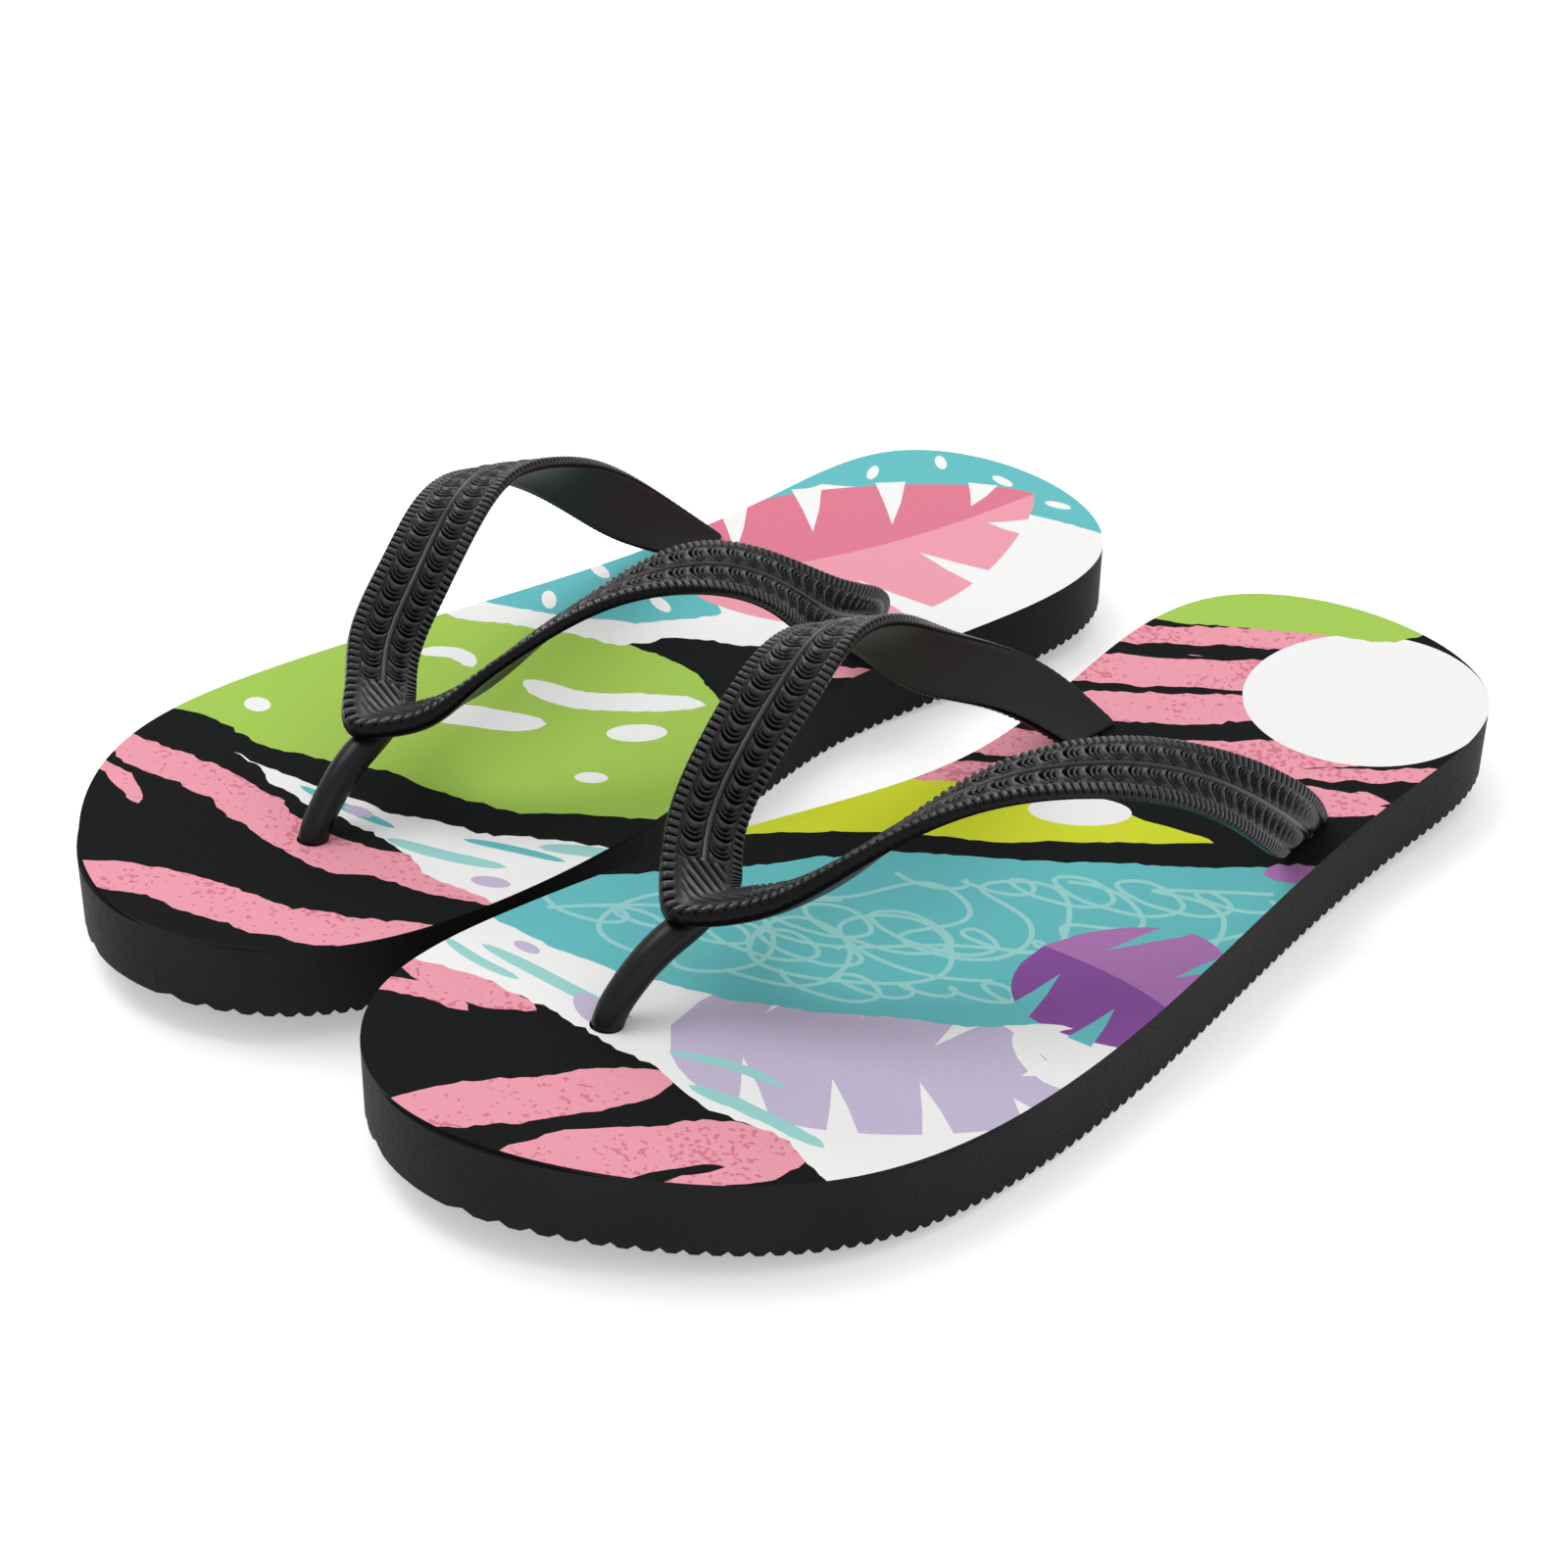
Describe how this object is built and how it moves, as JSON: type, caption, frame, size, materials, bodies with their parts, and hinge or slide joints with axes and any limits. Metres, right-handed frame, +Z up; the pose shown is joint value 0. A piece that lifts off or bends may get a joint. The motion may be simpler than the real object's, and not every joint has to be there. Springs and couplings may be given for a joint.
{
  "type": "pair of thong sandals",
  "caption": "Thong sandals with curved ridged rubber soles, printed fabric footbeds and moulded Y-shaped straps held by plugs under the soles.",
  "frame": {"origin": "on the floor, at the middle of the box round the pair", "axes": "+Y towards the toes, +Z up, +X from the left sandal to the right sandal; the pair mirrors in the plane X = 0"},
  "size_m": [0.218, 0.2708, 0.0619],
  "materials": {
    "sole_rubber": "matte black moulded rubber, fine grain",
    "printed_fabric": "fine rib-woven fabric with a painterly abstract print in black, white, pink, teal, lilac and lime",
    "strap_pvc": "satin black flexible moulded plastic with an embossed scale pattern"
  },
  "bodies": {
    "right_sandal": {"sole_right": "sole_rubber", "top_sheet_right": "printed_fabric", "strap_right": "strap_pvc"},
    "left_sandal": {"sole_left": "sole_rubber", "top_sheet_left": "printed_fabric", "strap_left": "strap_pvc"}
  },
  "joints": [
    {"name": "left_sandal_lift", "type": "slide", "parent": "right_sandal", "child": "left_sandal", "axis": [0, 0, 1], "range_m": [0, 0.15]}
  ]
}
